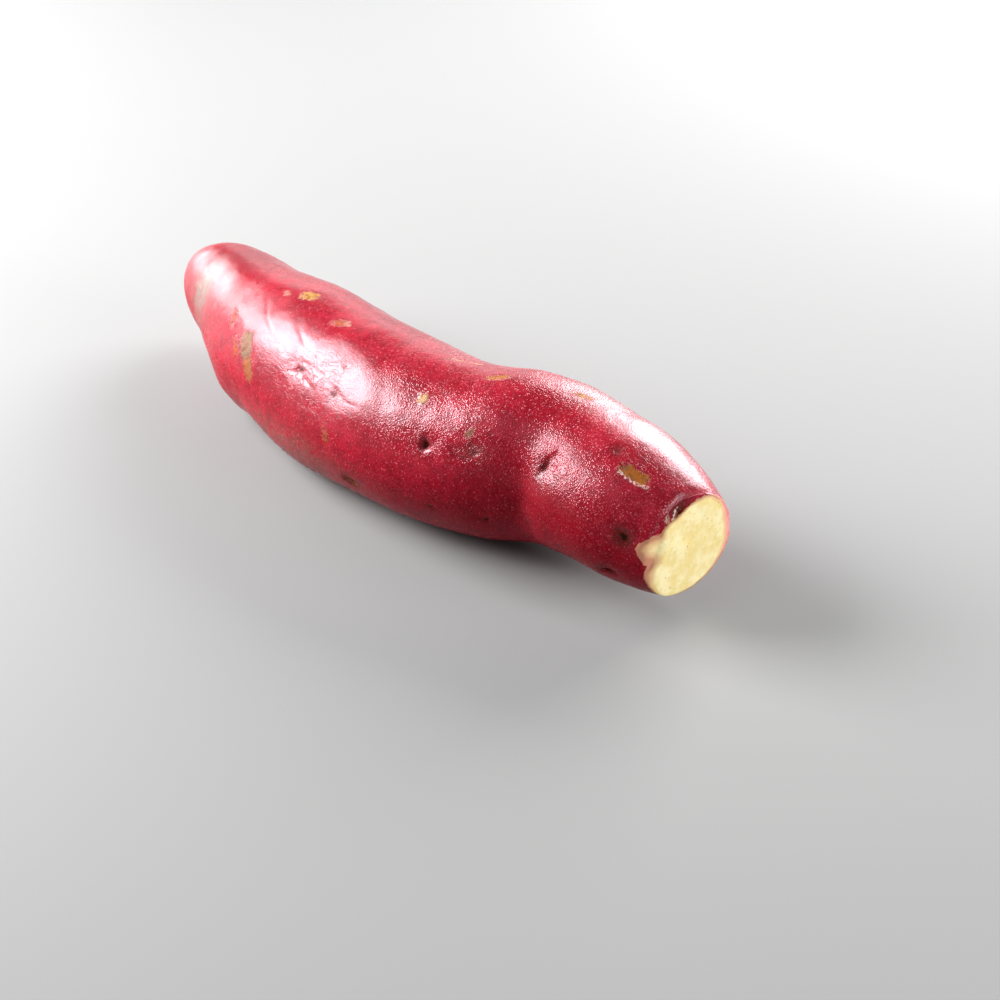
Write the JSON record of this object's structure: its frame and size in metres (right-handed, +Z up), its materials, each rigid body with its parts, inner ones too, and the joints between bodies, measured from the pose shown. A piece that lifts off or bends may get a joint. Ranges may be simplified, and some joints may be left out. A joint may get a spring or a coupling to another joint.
{
  "type": "sweet potato",
  "caption": "Slim red-skinned sweet potato with a rounded natural tip and a thick end sliced across, lying on its side.",
  "frame": {"origin": "middle of the tuber's box, on the surface that it lies on", "axes": "+X along the tuber from its natural tip to the cut face, +Z up, -Z out of the flat spot that it lies on"},
  "size_m": [0.2014, 0.057, 0.0473],
  "materials": {
    "skin": "moist, waxy red-purple skin with fine stippling, and pale yellow flesh at the cut"
  },
  "bodies": {
    "root": {"sweet_potato": "skin"}
  },
  "joints": []
}
